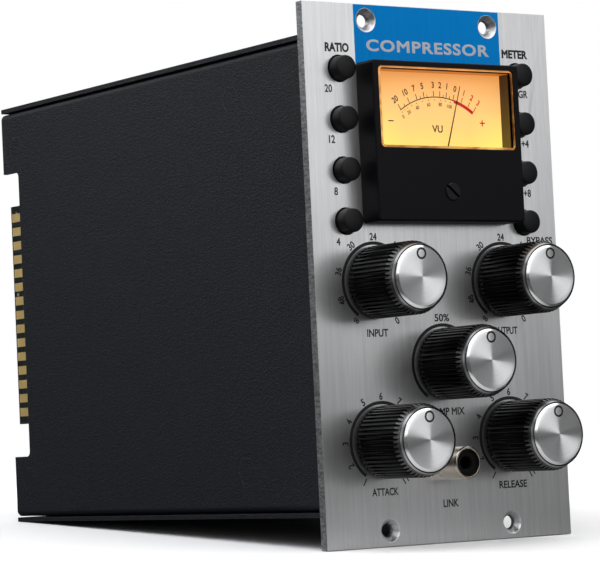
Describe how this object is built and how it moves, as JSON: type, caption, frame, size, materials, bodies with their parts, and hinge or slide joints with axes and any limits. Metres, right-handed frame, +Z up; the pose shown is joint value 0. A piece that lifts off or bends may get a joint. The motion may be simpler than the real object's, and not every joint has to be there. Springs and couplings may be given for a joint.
{
  "type": "rack compressor",
  "caption": "Double-width plug-in rack compressor module with a brushed front panel, rotary controls, push buttons, backlit level meter and card-edge connector.",
  "frame": {"origin": "middle of the four rack screws, on the rear face of the front panel", "axes": "+X to the right seen from the front, +Y into the rack, +Z up"},
  "size_m": [0.0762, 0.1741, 0.1334],
  "materials": {
    "brushed_panel": "vertical brushed grain, satin clear anodised",
    "black_powder_coat": "fine-texture black powder coat",
    "black_screw": "black oxide",
    "zinc_steel": "zinc plated",
    "circuit_board": "black solder mask",
    "gold_contact": "gold plated",
    "black_nylon": "moulded, satin",
    "core_steel": "varnished laminations",
    "winding_tape": "yellow polyester tape",
    "capacitor_sleeve": "shrink sleeve",
    "chip_epoxy": "moulded epoxy",
    "nickel": "bright nickel plate",
    "meter_black": "moulded, semi-matt",
    "clear_window": "clear acrylic with polished bevels",
    "dial_face": "translucent dial card, lit from behind",
    "lamp_glass": "warm lamp",
    "needle_black": "matt black",
    "copper_coil": "enamelled copper wire",
    "button_black": "satin moulded",
    "knob_black": "satin moulded, fluted",
    "knob_aluminium": "spun face, bright turned edge"
  },
  "bodies": {
    "module": {"front_panel": "brushed_panel", "chassis_channel": "black_powder_coat", "side_cover": "black_powder_coat", "cover_screws": "black_screw", "panel_studs": "zinc_steel", "panel_nuts": "zinc_steel", "board_standoffs": "zinc_steel", "board_screws": "zinc_steel", "main_board": "circuit_board", "edge_contacts": "gold_contact", "control_board": "circuit_board", "board_socket": "black_nylon", "board_header": "gold_contact", "transformer_cores": "core_steel", "transformer_windings": "winding_tape", "capacitors": "capacitor_sleeve", "integrated_circuits": "chip_epoxy", "voltage_regulators": "chip_epoxy", "potentiometer_bodies": "zinc_steel", "potentiometer_washers": "nickel", "potentiometer_nuts": "nickel", "ratio_switches": "black_nylon", "meter_switches": "black_nylon", "meter_bezel": "meter_black", "meter_window": "clear_window", "meter_case": "meter_black", "meter_dial": "dial_face", "meter_magnet": "zinc_steel", "meter_lamps": "lamp_glass", "link_jack_shell": "nickel", "link_jack_insulator": "black_nylon", "link_jack_contact": "nickel", "link_jack_nut": "nickel"},
    "input_control": {"input_knob": "knob_black", "input_knob_cap": "knob_aluminium", "input_shaft": "nickel"},
    "output_control": {"output_knob": "knob_black", "output_knob_cap": "knob_aluminium", "output_shaft": "nickel"},
    "mix_control": {"mix_knob": "knob_black", "mix_knob_cap": "knob_aluminium", "mix_shaft": "nickel"},
    "attack_control": {"attack_knob": "knob_black", "attack_knob_cap": "knob_aluminium", "attack_shaft": "nickel"},
    "release_control": {"release_knob": "knob_black", "release_knob_cap": "knob_aluminium", "release_shaft": "nickel"},
    "ratio_20_press": {"ratio_20_button": "button_black"},
    "ratio_12_press": {"ratio_12_button": "button_black"},
    "ratio_8_press": {"ratio_8_button": "button_black"},
    "ratio_4_press": {"ratio_4_button": "button_black"},
    "meter_gr_press": {"meter_gr_button": "button_black"},
    "meter_plus4_press": {"meter_plus4_button": "button_black"},
    "meter_plus8_press": {"meter_plus8_button": "button_black"},
    "meter_bypass_press": {"meter_bypass_button": "button_black"},
    "meter_movement": {"meter_needle": "needle_black", "meter_coil": "copper_coil"},
    "zero_adjuster": {"zero_screw": "button_black"}
  },
  "joints": [
    {"name": "input_turn", "type": "hinge", "parent": "module", "child": "input_control", "pos_m": [-0.02, -0.012, -0.0021], "axis": [0, 1, 0], "range_deg": [-150, 150]},
    {"name": "output_turn", "type": "hinge", "parent": "module", "child": "output_control", "pos_m": [0.02, -0.012, -0.0021], "axis": [0, 1, 0], "range_deg": [-150, 150]},
    {"name": "mix_turn", "type": "hinge", "parent": "module", "child": "mix_control", "pos_m": [0, -0.012, -0.0225], "axis": [0, 1, 0], "range_deg": [-150, 150]},
    {"name": "attack_turn", "type": "hinge", "parent": "module", "child": "attack_control", "pos_m": [-0.02, -0.012, -0.0412], "axis": [0, 1, 0], "range_deg": [-150, 150]},
    {"name": "release_turn", "type": "hinge", "parent": "module", "child": "release_control", "pos_m": [0.02, -0.012, -0.0412], "axis": [0, 1, 0], "range_deg": [-150, 150]},
    {"name": "ratio_20_push", "type": "slide", "parent": "module", "child": "ratio_20_press", "axis": [0, 1, 0], "range_m": [0, 0.0015], "stiffness_N_per_m": 400},
    {"name": "ratio_12_push", "type": "slide", "parent": "module", "child": "ratio_12_press", "axis": [0, 1, 0], "range_m": [0, 0.0015], "stiffness_N_per_m": 400},
    {"name": "ratio_8_push", "type": "slide", "parent": "module", "child": "ratio_8_press", "axis": [0, 1, 0], "range_m": [0, 0.0015], "stiffness_N_per_m": 400},
    {"name": "ratio_4_push", "type": "slide", "parent": "module", "child": "ratio_4_press", "axis": [0, 1, 0], "range_m": [0, 0.0015], "stiffness_N_per_m": 400},
    {"name": "meter_gr_push", "type": "slide", "parent": "module", "child": "meter_gr_press", "axis": [0, 1, 0], "range_m": [0, 0.0015], "stiffness_N_per_m": 400},
    {"name": "meter_plus4_push", "type": "slide", "parent": "module", "child": "meter_plus4_press", "axis": [0, 1, 0], "range_m": [0, 0.0015], "stiffness_N_per_m": 400},
    {"name": "meter_plus8_push", "type": "slide", "parent": "module", "child": "meter_plus8_press", "axis": [0, 1, 0], "range_m": [0, 0.0015], "stiffness_N_per_m": 400},
    {"name": "meter_bypass_push", "type": "slide", "parent": "module", "child": "meter_bypass_press", "axis": [0, 1, 0], "range_m": [0, 0.0015], "stiffness_N_per_m": 400},
    {"name": "needle_swing", "type": "hinge", "parent": "module", "child": "meter_movement", "pos_m": [0, -0.005, 0.0242], "axis": [0, 1, 0], "range_deg": [-53, 22], "stiffness_Nm_per_rad": 0.0001},
    {"name": "zero_turn", "type": "hinge", "parent": "module", "child": "zero_adjuster", "pos_m": [0, -0.009, 0.0198], "axis": [0, 1, 0], "range_deg": [-30, 30]}
  ]
}
